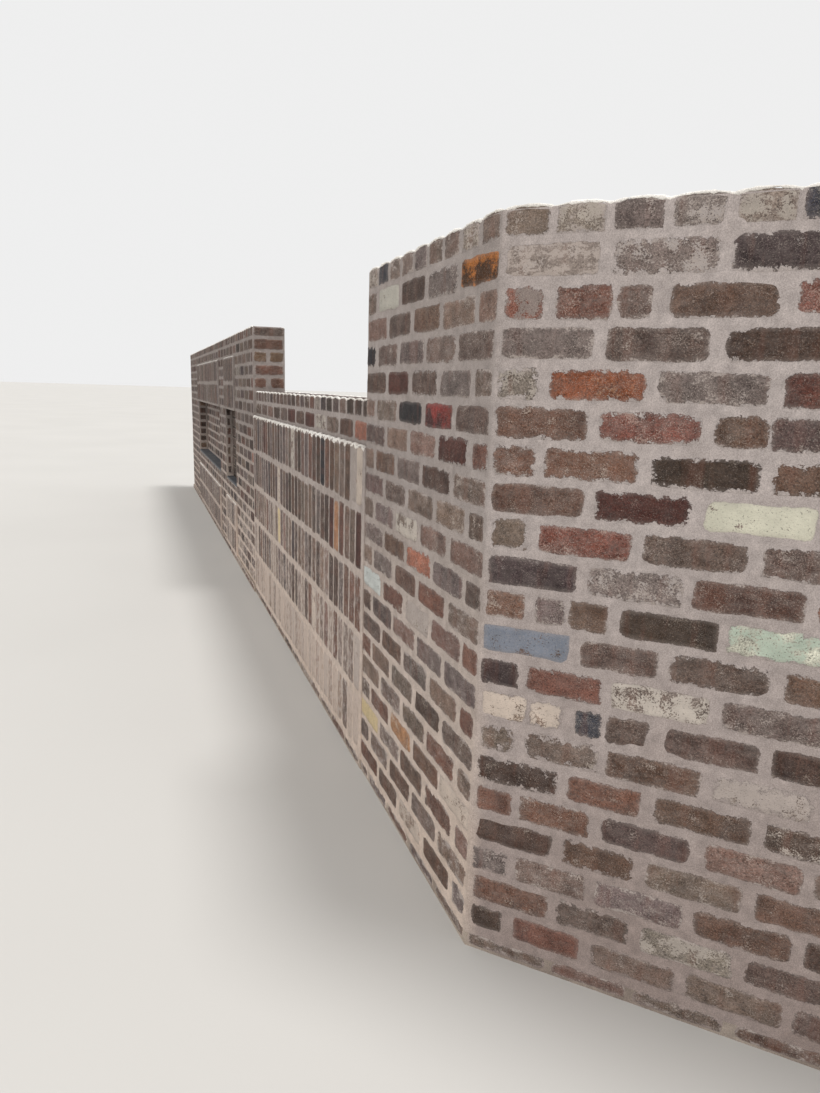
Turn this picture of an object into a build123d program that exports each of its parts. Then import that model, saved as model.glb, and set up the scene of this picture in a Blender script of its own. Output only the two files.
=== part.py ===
"""Boundary wall of recycled bricks: a tall corner with a splayed return, a low length with a panel of
bricks set on end, and a tall far length with two niches.

Millimetres, Z up. The origin is on the underside, where the middle lines of the two legs of the corner
meet. The straight wall runs from there towards -X with its front facing -Y, and the splayed return turns
away towards +X and +Y.
"""
import os
from math import cos, radians, sin, tan

from build123d import *

# Bricks and joints
brick_length = 228.0
upright_joint = 12.0
course_height = 95.0
soldier_pitch = 89.5
module = brick_length + upright_joint

# Heights, counted in courses above the footing strip
footing_height = 55.0
tall_courses = 21
courses_lower = 5
low_soldier_rows = 5
top_courses = 2
upper_soldier_courses = 5
niche_courses = 7
apron_courses = 2
rows_per_bay_panel = 2

# Plan
wall_thickness = 245.0
outer_skin = 110.0
splay_angle = 45.0
splay_length = 8.5 * module
tall_length = 4.5 * module
column_length = 4.5 * module
end_column_length = 5.5 * module
pier_length = 2.25 * module
low_soldiers = 32
bay_a_soldiers = 8
bay_b_soldiers = 29
panel_edge_joint = 20.0
corner_joint_width = 12.0

# Set-backs and projections of the front face
low_set_back = 20.0
low_panel_proud = 5.0
bay_panel_proud = 15.0
niche_a_depth = 65.0
sill_thickness = 25.0

# Levels worked out from the courses
top_level = footing_height + tall_courses * course_height
tall_body_top = top_level - course_height
low_top_level = top_level - courses_lower * course_height
low_panel_top = low_top_level - 2 * course_height
low_row_height = (low_panel_top - footing_height) / low_soldier_rows
upper_panel_top = top_level - top_courses * course_height
niche_top = upper_panel_top - upper_soldier_courses * course_height
niche_floor = niche_top - niche_courses * course_height
sill_underside = niche_floor - sill_thickness
lower_panel_top = niche_floor - apron_courses * course_height

# Front and back faces, the back of the outer skin, and the outer edge of the corner
front_face = -wall_thickness / 2
back_face = wall_thickness / 2
skin_back = front_face + outer_skin
mitre_half = wall_thickness / 2 * tan(radians(splay_angle / 2))
outer_corner = Vector(mitre_half, front_face)
inner_corner = Vector(-mitre_half, back_face)

# Lengths of the panels, and where each length of wall ends, from the corner to the far end
low_length = low_soldiers * soldier_pitch + 2 * panel_edge_joint
bay_a_length = bay_a_soldiers * soldier_pitch + 2 * panel_edge_joint
bay_b_length = bay_b_soldiers * soldier_pitch + 2 * panel_edge_joint
tall_end = outer_corner.X - tall_length
low_end = tall_end - low_length
column_end = low_end - column_length
bay_a_end = column_end - bay_a_length
pier_end = bay_a_end - pier_length
bay_b_end = pier_end - bay_b_length
far_end = bay_b_end - end_column_length

# Directions in plan: along the splay, and straight back through its thickness
along_splay = Vector(cos(radians(splay_angle)), sin(radians(splay_angle)))
through_splay = Vector(-along_splay.Y, along_splay.X)
splay_foot = outer_corner + along_splay * splay_length

os.makedirs("parts", exist_ok=True)


def save(piece, name):
    """Label a finished piece and write it to its own file."""
    piece.part.label = name
    export_step(piece.part, "parts/" + name + ".step")
    size = piece.part.bounding_box().size
    print(f"{name:22s} {size.X:8.1f} {size.Y:7.1f} {size.Z:7.1f} mm")


def straight_length(name, left, right, front, back, bottom, top):
    """A straight length of masonry between two points along the wall."""
    with BuildPart() as piece:
        with BuildSketch(Plane.XY.offset(bottom)):
            with Locations((left, front)):
                Rectangle(right - left, back - front, align=(Align.MIN, Align.MIN))
        extrude(amount=top - bottom)
    save(piece, name)


def outline_length(name, corners, bottom, top):
    """A length of masonry whose plan is the outline through the given corners."""
    with BuildPart() as piece:
        with BuildSketch(Plane.XY.offset(bottom)):
            with BuildLine():
                Polyline(*[(corner.X, corner.Y) for corner in corners], close=True)
            make_face()
        extrude(amount=top - bottom)
    save(piece, name)


# Plans of the two legs of the corner, mitred against the upright band of mortar between them
along_wall = Vector(1, 0)
mitre = [outer_corner, inner_corner]
wall_joint_face = [point - along_wall * corner_joint_width for point in mitre]
splay_joint_face = [point + along_splay * corner_joint_width for point in mitre]
tall_end_face = [Vector(tall_end, back_face), Vector(tall_end, front_face)]
splay_end_face = [splay_foot, splay_foot + through_splay * wall_thickness]
tall_plan = tall_end_face + wall_joint_face
splay_plan = splay_end_face + splay_joint_face[::-1]
corner_joint_plan = [
    wall_joint_face[0], outer_corner, splay_joint_face[0],
    splay_joint_face[1], inner_corner, wall_joint_face[1],
]
tall_footing_plan = tall_end_face + [outer_corner, inner_corner]
splay_footing_plan = splay_end_face + [inner_corner, outer_corner]

# Footing strips under the whole wall, no wider than the wall itself
outline_length("splay_footing", splay_footing_plan, 0, footing_height)
outline_length("tall_footing", tall_footing_plan, 0, footing_height)
low_panel_face = front_face - low_panel_proud
bay_panel_face = front_face - bay_panel_proud
straight_length("low_footing", low_end, tall_end, low_panel_face, back_face, 0, footing_height)
straight_length("far_footing", far_end, low_end, bay_panel_face, back_face, 0, footing_height)

# Tall corner: two legs, each closed by a course of headers
outline_length("splay_wall", splay_plan, footing_height, tall_body_top)
outline_length("splay_coping", splay_plan, tall_body_top, top_level)
outline_length("tall_wall", tall_plan, footing_height, tall_body_top)
outline_length("tall_coping", tall_plan, tall_body_top, top_level)
outline_length("corner_joint", corner_joint_plan, footing_height, top_level)

# Low length: inner skin, rows of bricks set on end in front of it, then a plain course and headers
straight_length(
    "low_backing", low_end, tall_end, skin_back, back_face, footing_height, low_panel_top
)
for row in range(low_soldier_rows):
    row_bottom = footing_height + row * low_row_height
    straight_length(
        f"low_soldier_row_{row + 1}",
        low_end, tall_end,
        low_panel_face, skin_back,
        row_bottom, row_bottom + low_row_height,
    )
straight_length(
    "low_plain_course", low_end, tall_end,
    front_face + low_set_back, back_face, low_panel_top, low_panel_top + course_height,
)
straight_length(
    "low_coping", low_end, tall_end,
    front_face + low_set_back, back_face, low_panel_top + course_height, low_top_level,
)

# Far length: three plain columns, with two courses running over everything
straight_length(
    "far_near_column", column_end, low_end, front_face, back_face, footing_height, upper_panel_top
)
straight_length(
    "far_pier", pier_end, bay_a_end, front_face, back_face, footing_height, upper_panel_top
)
straight_length(
    "far_end_column", far_end, bay_b_end, front_face, back_face, footing_height, upper_panel_top
)
straight_length(
    "far_top_course", far_end, low_end, front_face, back_face, upper_panel_top, tall_body_top
)
straight_length(
    "far_coping", far_end, low_end, front_face, back_face, tall_body_top, top_level
)


def bay(name, left, right):
    """One bay of the far length: soldier rows above and below a niche, its sill and the skin behind."""
    straight_length(
        f"{name}_backing", left, right, skin_back, back_face, footing_height, upper_panel_top
    )
    for panel, bottom, top in (
        ("lower", footing_height, lower_panel_top),
        ("upper", niche_top, upper_panel_top),
    ):
        row_height = (top - bottom) / rows_per_bay_panel
        for row in range(rows_per_bay_panel):
            row_bottom = bottom + row * row_height
            straight_length(
                f"{name}_{panel}_row_{row + 1}", left, right,
                bay_panel_face, skin_back, row_bottom, row_bottom + row_height,
            )
    straight_length(f"{name}_apron", left, right, front_face, skin_back, lower_panel_top, sill_underside)


bay("bay_a", bay_a_end, column_end)
bay("bay_b", bay_b_end, pier_end)

# Niche A is shallow: a half-depth lining stands between its opening and the inner skin
straight_length(
    "bay_a_lining", bay_a_end, column_end,
    front_face + niche_a_depth, skin_back, sill_underside, niche_top,
)
straight_length(
    "bay_a_sill", bay_a_end, column_end,
    front_face, front_face + niche_a_depth, sill_underside, niche_floor,
)
straight_length(
    "bay_b_sill", bay_b_end, pier_end, front_face, skin_back, sill_underside, niche_floor
)

print(f"ends along X: tall {tall_end:.1f} low {low_end:.1f} column {column_end:.1f} bay A {bay_a_end:.1f}")
print(f"              pier {pier_end:.1f} bay B {bay_b_end:.1f} far end {far_end:.1f}")
print(f"levels: top {top_level:.1f} low top {low_top_level:.1f} low panel {low_panel_top:.1f}")
print(f"        niches {niche_floor:.1f} to {niche_top:.1f}, lower panel top {lower_panel_top:.1f}")
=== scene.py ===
# %% [markdown]
# # A garden wall of salvaged bricks
# The wall is laid from bricks that were used before. A tall corner has a splayed return, a low length
# carries a panel of bricks set on end, and a tall far length has two niches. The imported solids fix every
# length and level, so this lesson first loads them. Then it dresses them: bodies of mortar, the bricks
# bedded in them, and the materials of each.

# %% Load the solids of the wall
from functools import partial
from math import atan, cos, pi, radians, sin

import bpy
import numpy as np
from mathutils import Matrix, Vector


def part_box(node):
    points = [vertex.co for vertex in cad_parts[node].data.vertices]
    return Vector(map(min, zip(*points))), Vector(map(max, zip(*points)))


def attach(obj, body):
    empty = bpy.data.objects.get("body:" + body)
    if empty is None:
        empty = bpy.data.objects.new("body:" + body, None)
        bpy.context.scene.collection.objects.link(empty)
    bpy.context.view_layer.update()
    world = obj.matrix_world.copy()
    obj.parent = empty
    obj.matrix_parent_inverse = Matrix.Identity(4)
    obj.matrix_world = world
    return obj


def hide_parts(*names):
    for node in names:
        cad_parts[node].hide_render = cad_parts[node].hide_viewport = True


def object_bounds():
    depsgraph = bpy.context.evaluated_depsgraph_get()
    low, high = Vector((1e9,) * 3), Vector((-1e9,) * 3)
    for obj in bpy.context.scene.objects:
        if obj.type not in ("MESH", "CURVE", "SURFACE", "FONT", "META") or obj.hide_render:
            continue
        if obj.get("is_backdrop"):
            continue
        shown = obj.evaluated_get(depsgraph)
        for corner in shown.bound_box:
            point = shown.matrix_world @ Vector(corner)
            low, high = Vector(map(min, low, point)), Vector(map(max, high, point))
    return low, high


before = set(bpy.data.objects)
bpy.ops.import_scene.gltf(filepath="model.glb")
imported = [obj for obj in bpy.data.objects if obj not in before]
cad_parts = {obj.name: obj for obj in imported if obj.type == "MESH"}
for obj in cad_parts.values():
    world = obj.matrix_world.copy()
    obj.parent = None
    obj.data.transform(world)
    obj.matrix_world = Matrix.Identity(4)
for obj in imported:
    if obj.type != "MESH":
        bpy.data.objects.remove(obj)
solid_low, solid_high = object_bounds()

scene = bpy.context.scene
print("solids:", len(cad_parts), "in a box of", [round(v, 3) for v in solid_high - solid_low], "m")

# %% [markdown]
# ## The plan of the wall
# The outer corner, the two lengths beside it and the levels of the courses can all be read from the
# boxes of the solids. Every later cell works from these names, so the dressing follows the wall when a
# length changes. A face of the wall is a starting point and a direction along it. Seen from the front the
# direction runs to the right, so the way out of the face is the direction turned a quarter clockwise.

# %% Read the plan from the solids
module = 0.240           # a brick and an upright joint
course = 0.095           # a brick and a bed joint
bed_joint = 0.0205       # what shows of the mortar under a brick
upright_gap = 0.024      # what shows of the mortar between two bricks
soldier_pitch = 0.0895   # a brick on end and its joint
panel_edge = 0.020       # mortar at each end of a panel of bricks on end
wall_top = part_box("splay_coping")[1].z
low_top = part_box("low_coping")[1].z
strip_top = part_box("tall_footing")[1].z
body_top = wall_top - course
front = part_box("tall_wall")[0].y
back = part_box("tall_wall")[1].y
thickness = back - front
corner = np.array([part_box("tall_footing")[1].x, front])
inner_corner = np.array([-corner[0], back])
tall_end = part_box("tall_wall")[0].x
low_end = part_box("low_coping")[0].x
far_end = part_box("far_coping")[0].x
tall_length, low_length, far_length = corner[0] - tall_end, tall_end - low_end, low_end - far_end
splay_way = np.array([cos(radians(45)), sin(radians(45))])
splay_length = (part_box("splay_footing")[1].x - corner[0]) / splay_way[0]
splay_back = splay_length - (inner_corner - corner) @ splay_way
straight_up = np.array([0.0, 0.0, 1.0])


def face(start, way=(1, 0)):
    """A face of the wall: where it starts at its left end, its direction, and the way out of it."""
    along = np.array([*way, 0.0], float)
    return {"start": np.array([*start, 0.0]), "along": along, "out": np.array([along[1], -along[0], 0.0])}


print(f"splay {splay_length:.3f} m, tall {tall_length:.3f} m, low {low_length:.3f} m,",
      f"far {far_length:.3f} m, top {wall_top:.3f} m")

# %% [markdown]
# ## Colours of old clay
# Bricks from several pulled-down buildings differ as much as those did. Each look below is a clay
# colour, a second coat (old paint, lime or dust) with the share of the brick that it covers, and how much
# mortar film and kiln banding the brick has. The last number is how often the look turns up. Looks with
# no share turn up only where a later cell names them: as a single brick that catches the eye, or in the
# mix of one face. Colours are sRGB hex values, as a colour picker shows them, and one function turns them
# into the linear values that shaders work with.

# %% Name the looks of the bricks


def linear(hex_colour):
    """sRGB hex to linear red, green, blue, alpha: c / 12.92 to 0.04045, else ((c + 0.055) / 1.055) ** 2.4."""
    parts = [int(hex_colour[i:i + 2], 16) / 255 for i in (0, 2, 4)]
    return [c / 12.92 if c <= 0.04045 else ((c + 0.055) / 1.055) ** 2.4 for c in parts] + [1.0]


#   look: clay, coat, covered, film, banding, share
looks = {
    "driftwood": ("6b5a51", "9f938b", 0.10, 0.62, 0.3, 9),
    "umber": ("584740", "968a82", 0.06, 0.45, 0.4, 12),
    "cocoa": ("5b4438", "94857b", 0.05, 0.35, 0.4, 12),
    "dun": ("66564c", "a0948b", 0.08, 0.52, 0.3, 12),
    "fawn": ("766154", "a4978c", 0.08, 0.45, 0.3, 8),
    "walnut": ("45342c", "8d8075", 0.03, 0.22, 0.5, 8),
    "plum": ("554441", "93877f", 0.06, 0.35, 0.5, 7),
    "mauve grey": ("635552", "9e938d", 0.08, 0.55, 0.4, 7),
    "oxblood": ("4c2c25", "8d7d73", 0.02, 0.15, 0.3, 4),
    "red brown": ("67463a", "96857a", 0.04, 0.32, 0.4, 8),
    "dark olive": ("3a2d25", "857a6f", 0.02, 0.16, 0.3, 4),
    "pink brown": ("745950", "a1938a", 0.08, 0.50, 0.3, 6),
    "iron": ("3b3031", "88807d", 0.03, 0.20, 0.5, 3),
    "splashed": ("54433a", "b9ada3", 0.24, 0.35, 0.3, 2),
    "limed": ("75695f", "a99f95", 0.45, 0.75, 0.2, 2),
    "orange": ("80462d", "946a50", 0.12, 0.28, 0.1, 0),
    "brick red": ("704338", "96766b", 0.20, 0.48, 0.3, 0),
    "salmon": ("a46a55", "b4978a", 0.10, 0.35, 0.1, 0),
    "orange tan": ("ac7a55", "c4ab95", 0.22, 0.35, 0.1, 0),
    "tan": ("6b523f", "988877", 0.08, 0.40, 0.3, 0),
    "rust": ("66483b", "9d8c80", 0.08, 0.45, 0.3, 0),
    "bright red": ("7c2d2a", "38191a", 0.44, 0.10, 0.0, 0),
    "black": ("242225", "4d4a49", 0.03, 0.06, 0.1, 0),
    "navy": ("34353d", "6f6c6a", 0.12, 0.30, 0.2, 0),
    "burnt": ("b07033", "2a1b10", 0.55, 0.00, 0.0, 0),
    "silver": ("706460", "aaa09b", 0.32, 0.95, 0.4, 0),
    "cream paint": ("7f7166", "d3d0bc", 0.93, 0.15, 0.0, 0),
    "chalky paint": ("86786d", "b5b1a6", 0.92, 0.25, 0.0, 0),
    "yellow paint": ("85766a", "d3bd90", 0.90, 0.25, 0.0, 0),
    "mint paint": ("d3cfc0", "b2bfae", 0.52, 0.10, 0.0, 0),
    "blue paint": ("6b5a55", "7b828e", 0.90, 0.10, 0.0, 0),
    "pale blue paint": ("85807c", "c6cac6", 0.88, 0.15, 0.0, 0),
    "white lime": ("6d5e56", "c5bbb0", 0.62, 0.40, 0.0, 0),
    "cream lime": ("8a7668", "cdbdaf", 0.74, 0.25, 0.0, 0),
    "grey lime": ("7c6f66", "b0a49d", 0.84, 0.50, 0.0, 0),
    "red and grey": ("7a4a3c", "857973", 0.50, 0.40, 0.0, 0),
}
look_names = list(looks)
clay_colours = np.array([linear(looks[name][0]) for name in look_names])
coat_colours = np.array([linear(looks[name][1])[:3] + [looks[name][2]] for name in look_names])
film_and_bands = np.array([looks[name][3:5] for name in look_names])
shares = np.array([looks[name][5] for name in look_names], float)
print(len(looks), "looks,", int((shares == 0).sum()), "of them only where they are named")

# %% [markdown]
# ## One small function for shader nodes
# All the finishes below are built from noise and mixing. One function adds a node, sets its properties,
# and sets or links its inputs, so a finish reads as a list of what is laid over what. Each new finish gets
# the same function with its own tree filled in. The settings of the few kinds of sum have names of their
# own, because they come back in every recipe.

# %% Add a node with its settings and links
plus, less, times, times_plus, larger, unsigned = (
    {"operation": word} for word in ("ADD", "SUBTRACT", "MULTIPLY", "MULTIPLY_ADD", "MAXIMUM", "ABSOLUTE")
)


def add_node(tree, kind, settings=None, **links):
    """Add one shader node. links are its inputs: a socket is linked, a value is set. in_0 is input 0."""
    made = tree.nodes.new("ShaderNode" + kind)
    for name, value in (settings or {}).items():
        setattr(made, name, value)
    for name, value in links.items():
        socket = made.inputs[int(name[3:]) if name.startswith("in_") else name.replace("_", " ")]
        if isinstance(value, bpy.types.NodeSocket):
            tree.links.new(value, socket)
        else:
            socket.default_value = value
    return made.outputs


def new_finish(name, roughness):
    """A material, the function that adds a node to it, and its Principled shader."""
    finish = bpy.data.materials.new(name)
    finish.use_nodes = True
    shader = finish.node_tree.nodes["Principled BSDF"]
    shader.inputs["Roughness"].default_value = roughness
    return finish, partial(add_node, finish.node_tree), shader


def per(millimetres):
    """Scale of a noise whose features are about this size."""
    return 1000 / millimetres


# %% [markdown]
# ## Flush lime mortar
# The joints are struck flush with a soft, pinkish beige mortar. It is smooth from the trowel, cloudy
# where it dried unevenly, and has a fine sand grain. By place it is tinted: a paler, warmer foot is dust
# with painted bounce light from the ground, and a darker head is painted shade, more so on the far length.
# On the splay the head is less dark and the foot is darker, painted shade. The mortar also lies as a smear
# over the edges of the bricks, so its recipe is a function that both the mortar and the brick finish call.
# Both read Object coordinates, which makes the clouds run on from the joint over the smear. Sizes of patterns
# are given in millimetres.

# %% Recipe of the mortar
dust_from, dust_full = 1.3, 0.1     # heights in metres between which the paler foot sets in: dust with painted bounce light
# Painted light in the mortar: the head tint is painted shade, and the foot tint is dust with painted bounce
# light from the ground
head_shade_tint, foot_dust_and_bounce_tint = "8d847f", "d8c3b1"
sand_size = 2.6          # millimetres: coarser than real sand, so that it still shows
# Where else along the wall: x where a tint sets in, x where it is full, its share, at the head, at the foot
tints_along = [
    # On the splay: a head less dark, with less painted shade, and a darker foot, which is painted shade
    (0.03, 0.08, 1.0, "a89e9a", "7d6c65"),      # round the corner, on the splay
    # On the far length: a darker head, painted shade with grime
    (-3.6, -4.2, 1.0, "6d655f", None),          # where the tall far length starts
    (-5.6, -6.6, 0.4, None, "7e7068"),          # past the near niche: a less pale foot, with less dust and less painted bounce light
]


def mortar_layers(node, pale, dark, sand, light_and_dust_share=0.62):
    """Colour and height of mortar: clouds of 260 mm, tints by place that paint shade and bounce light with
    dust, smudges of 34 mm, and sand.
    """
    place = node("TexCoord")["Object"]
    cloud = node("TexNoise", Vector=place, Scale=per(260), Detail=2.0, Roughness=0.5)[0]
    smudge = node("TexNoise", Vector=place, Scale=per(34), Detail=3.0, Roughness=0.6)[0]
    clouded = node("MapRange", Value=cloud, From_Min=0.34, From_Max=0.66)[0]
    colour = node("MixRGB", Fac=clouded, Color1=linear(dark), Color2=linear(pale))[0]

    # Tints by height and place: a darker head that paints shade, and a paler foot that paints dust with
    # bounce light
    where = node("SeparateXYZ", Vector=place)
    low_down = node("MapRange", Value=where[2], From_Min=dust_from, From_Max=dust_full)[0]
    head, foot = linear(head_shade_tint), linear(foot_dust_and_bounce_tint)
    for begins, full, most, at_head, at_foot in tints_along:
        here = node("MapRange", Value=where[0], From_Min=begins, From_Max=full, To_Max=most)[0]
        if at_head:
            head = node("MixRGB", Fac=here, Color1=head, Color2=linear(at_head))[0]
        if at_foot:
            foot = node("MixRGB", Fac=here, Color1=foot, Color2=linear(at_foot))[0]
    painted_light_and_dust = node("MixRGB", Fac=low_down, Color1=head, Color2=foot)[0]
    colour = node("MixRGB", Fac=light_and_dust_share, Color1=colour, Color2=painted_light_and_dust)[0]

    light = node("MapRange", Value=smudge, From_Min=0.3, From_Max=0.7, To_Min=0.84, To_Max=1.16)[0]
    grain = node("MapRange", Value=sand, From_Min=0.3, From_Max=0.7, To_Min=0.78, To_Max=1.22)[0]
    both = node("Math", times, in_0=light, in_1=grain)[0]
    colour = node("HueSaturation", Value=both, Color=colour)[0]
    fine = node("Math", times, in_0=sand, in_1=0.3)[0]
    return colour, node("Math", times_plus, in_0=smudge, in_1=1.5, in_2=fine)[0]


def finished(finish, node, shader, colour, height, rise):
    """Link colour and height to the shader. rise is the metres of bump that a height of 1 stands for."""
    bump = node("Bump", Height=height, Distance=rise, Strength=1.0)[0]
    finish.node_tree.links.new(colour, shader.inputs["Base Color"])
    finish.node_tree.links.new(bump, shader.inputs["Normal"])
    return finish


def mortar_finish(name, pale, dark, rise, light_and_dust_share=0.62):
    """Mortar on its own, with its height as bump."""
    finish, node, shader = new_finish(name, 0.92)
    shader.inputs["Specular IOR Level"].default_value = 0.3
    place = node("TexCoord")["Object"]
    sand = node("TexNoise", Vector=place, Scale=per(sand_size), Detail=1.0, Roughness=0.7)[0]
    return finished(finish, node, shader, *mortar_layers(node, pale, dark, sand, light_and_dust_share), rise)


mortar_pale, mortar_dark = "b0a5a0", "9c908a"
# Lime and sand, struck flush: matt, a little cloudy, with a soft shade where the trowel dragged.
flush_mortar = mortar_finish("flush_lime_mortar", mortar_pale, mortar_dark, 0.0018)
# The same mortar squeezed out on top and left rough: near white, pale lime made whiter as a painted sunlit
# highlight.
sunlit_crust_mortar = mortar_finish("lime_crust_painted_sunlit", "f2eee8", "d6d0c8", 0.003, light_and_dust_share=0.0)
# Mortar droppings trodden into the footing strip: greyer, dusty and coarse.
footing_mortar = mortar_finish("dusty_footing_mortar", "a3978b", "83776d", 0.004, light_and_dust_share=0.2)
# Mortar at the back of the shallow niche: a deep brown that paints the shade of the recess.
niche_shade_mortar = mortar_finish("niche_shade_mortar", "372c23", "261e18", 0.0012, light_and_dust_share=0.0)
print("mortar finishes:", flush_mortar.name, sunlit_crust_mortar.name, footing_mortar.name, niche_shade_mortar.name)

# %% [markdown]
# ## Salvaged clay brick
# A pressed clay brick, fired in a coal kiln, then cleaned of its first mortar with an axe. The eye sees
# one layer over another. The clay is mottled over about 60 mm and streaked by the fire in bands across
# the brick. Old paint or lime covers part of some bricks, with ragged edges. Pale sand and dark pits of a
# few millimetres show through all of it. A thin film of the new mortar was brushed over the face, thicker
# towards the edges, and near the foot the bricks get a paler film that paints dust with bounce light from
# the ground. Last, mortar is smeared over the edge itself in small teeth.
#
# Each brick carries five attributes. spot is the place on its own face in metres, with a number of its
# own as the third value, so that no two bricks share a pattern. reach is half its length and half its
# height. clay, coat and film come from its look, and film also holds the banding and the teeth.
# All noises are set out in one table and all layers in another, in the order in which they lie.

# %% Recipe of the brick


def brick_finish(name):
    """Clay, fire bands, coat, sand, pits, film, dust and mortar teeth, laid over one another."""
    finish, node, shader = new_finish(name, 0.9)
    shader.inputs["Specular IOR Level"].default_value = 0.3
    own = {key: node("Attribute", {"attribute_name": key})
           for key in ("spot", "reach", "clay", "coat", "film")}
    spot, coat = own["spot"]["Vector"], own["coat"]
    film, banding, toothed = node("SeparateXYZ", Vector=own["film"]["Vector"])
    stretched = node("Mapping", Vector=spot, Scale=(1.0, 0.14, 1.0))[0]
    slanted = node("Mapping", Vector=spot, Rotation=(0.0, 0.0, radians(28)), Scale=(0.75, 1.3, 1.0))[0]
    mottle, grit, fire, flake, sand, brushed, lobes = (
        node("TexNoise", Vector=place, Scale=per(size), Detail=detail, Roughness=roughness)[0]
        for place, size, detail, roughness in (
            (spot, 60, 4.0, 0.62),       # clouds of tone in the clay
            (spot, 4.5, 2.0, 0.8),       # grit and pits
            (stretched, 44, 3.0, 0.6),   # bands of the fire, drawn out across the brick
            (spot, 48, 5.0, 0.62),       # flakes of the second coat
            (spot, sand_size, 1.0, 0.7),
            (slanted, 30, 5.0, 0.72),    # strokes of the brush, drawn out at a slant
            (spot, 22, 2.0, 0.6),        # lobes along the edge of the smeared mortar
        )
    )

    # Distance past the edge of the brick: the larger of |u| - half length and |v| - half height
    past = node("VectorMath", unsigned, in_0=spot)[0]
    past = node("VectorMath", less, in_0=past, in_1=own["reach"]["Vector"])[0]
    past = node("SeparateXYZ", Vector=past)
    edge = node("Math", larger, in_0=past[0], in_1=past[1])[0]

    # Mottled clay that turns redder in places, and bands across the brick where it lay in the kiln
    value = node("MapRange", Value=mottle, From_Min=0.3, From_Max=0.7, To_Min=0.60, To_Max=1.38)[0]
    gritty = node("MapRange", Value=grit, From_Min=0.3, From_Max=0.7, To_Min=0.42, To_Max=1.60)[0]
    value = node("Math", times, in_0=value, in_1=gritty)[0]
    colour = node("HueSaturation", Value=value, Color=own["clay"]["Color"])[0]
    redder = node("MapRange", Value=fire, From_Min=0.48, From_Max=0.34, To_Max=0.25)[0]
    band = node("MapRange", Value=fire, From_Min=0.50, From_Max=0.66)[0]
    band = node("Math", times, in_0=band, in_1=banding)[0]

    # The second coat covers where a noise is above a bar, and the bar is set by the covered share
    bar = node("MapRange", Value=coat["Alpha"], To_Min=0.70, To_Max=0.30)[0]
    flake = node("Math", less, in_0=flake, in_1=bar)[0]
    flake = node("Math", times_plus, in_0=grit, in_1=0.55, in_2=flake)[0]
    covered = node("MapRange", Value=flake, From_Min=0.25, From_Max=0.31, To_Max=0.92)[0]
    tone = node("MapRange", Value=mottle, From_Min=0.3, From_Max=0.7, To_Min=0.86, To_Max=1.12)[0]
    coat_colour = node("HueSaturation", Value=tone, Color=coat["Color"])[0]

    # Pale sand, more of it towards the coat and less on a clean brick, and dark pits
    sandy = node("MapRange", Value=sand, From_Min=0.54, From_Max=0.66, To_Max=0.75)[0]
    thick = node("MapRange", Value=flake, From_Min=0.02, From_Max=0.26, To_Min=0.25)[0]
    sandy = node("Math", times, in_0=sandy, in_1=thick)[0]
    unclean = node("MapRange", Value=film, From_Max=0.5, To_Min=0.25)[0]
    sandy = node("Math", times, in_0=sandy, in_1=unclean)[0]
    pitted = node("MapRange", Value=grit, From_Min=0.39, From_Max=0.29, To_Max=0.8)[0]

    # Brushed film, thicker towards the edges, and caught on the grit
    streaks = node("MapRange", Value=brushed, From_Min=0.42, From_Max=0.62)[0]
    streaks = node("Math", times, in_0=streaks, in_1=film)[0]
    near_edge = node("MapRange", Value=edge, From_Min=-0.012, From_Max=0.0, To_Max=0.42)[0]
    veil = node("Math", {**plus, "use_clamp": True}, in_0=streaks, in_1=near_edge)[0]
    caught = node("Math", plus, in_0=grit, in_1=veil)[0]
    caught = node("MapRange", Value=caught, From_Min=1.0, From_Max=1.18, To_Max=0.7)[0]
    hazy = node("Math", {**times_plus, "use_clamp": True}, in_0=veil, in_1=0.5, in_2=caught)[0]

    # Near the foot, where the film is thicker, a sandy pale film: dust with painted bounce light from the
    # ground
    foot_dust_and_bounce = node("MapRange", Value=film, From_Min=0.7, From_Max=1.7, To_Max=0.62)[0]

    # Teeth of mortar: the edge is pushed in and out by the lobes and by the grit, more on some bricks
    bite = node("MapRange", Value=lobes, From_Min=0.40, From_Max=0.74, To_Min=-0.001, To_Max=0.011)[0]
    tooth = node("MapRange", Value=grit, From_Min=0.3, From_Max=0.7, To_Min=-0.0036, To_Max=0.0036)[0]
    pushed = node("Math", plus, in_0=bite, in_1=tooth)[0]
    pushed = node("Math", times_plus, in_0=pushed, in_1=toothed, in_2=edge)[0]
    smear = node("MapRange", Value=pushed, From_Min=-0.0004, From_Max=0.0014)[0]
    mortar, mortar_height = mortar_layers(node, mortar_pale, mortar_dark, sand)

    layers = (
        (redder, linear("74493b")), (band, linear("3d3231")), (covered, coat_colour),
        (sandy, linear("b3a69b")), (pitted, linear("332a27")), (hazy, linear("a69a93")),
        (foot_dust_and_bounce, linear("cbb8aa")), (smear, mortar),
    )
    for amount, laid_over in layers:
        colour = node("MixRGB", Fac=amount, Color1=colour, Color2=laid_over)[0]

    # Height: gritty clay with sand on it, and the smear standing proud
    height = node("Math", times_plus, in_0=sand, in_1=0.45, in_2=grit)[0]
    raised = node("Math", plus, in_0=mortar_height, in_1=0.35)[0]
    height = node("Mix", in_0=smear, in_2=height, in_3=raised)[0]
    return finished(finish, node, shader, colour, height, 0.0022)


# Fired clay, axed clean: matt and gritty, every brick with its own clay, coat and film.
salvaged_brick = brick_finish("salvaged_clay_brick")
print("brick finish:", len(salvaged_brick.node_tree.nodes), "nodes")

# %% [markdown]
# ## Whole arrays into a mesh
# Every piece is worked out as arrays: the points, and the faces as rows of point numbers. One function
# puts them into a mesh at the origin, hangs the attributes on its points, and hides the solids that the piece
# stands for.

# %% Make a piece from arrays
made_pieces = {}


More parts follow.
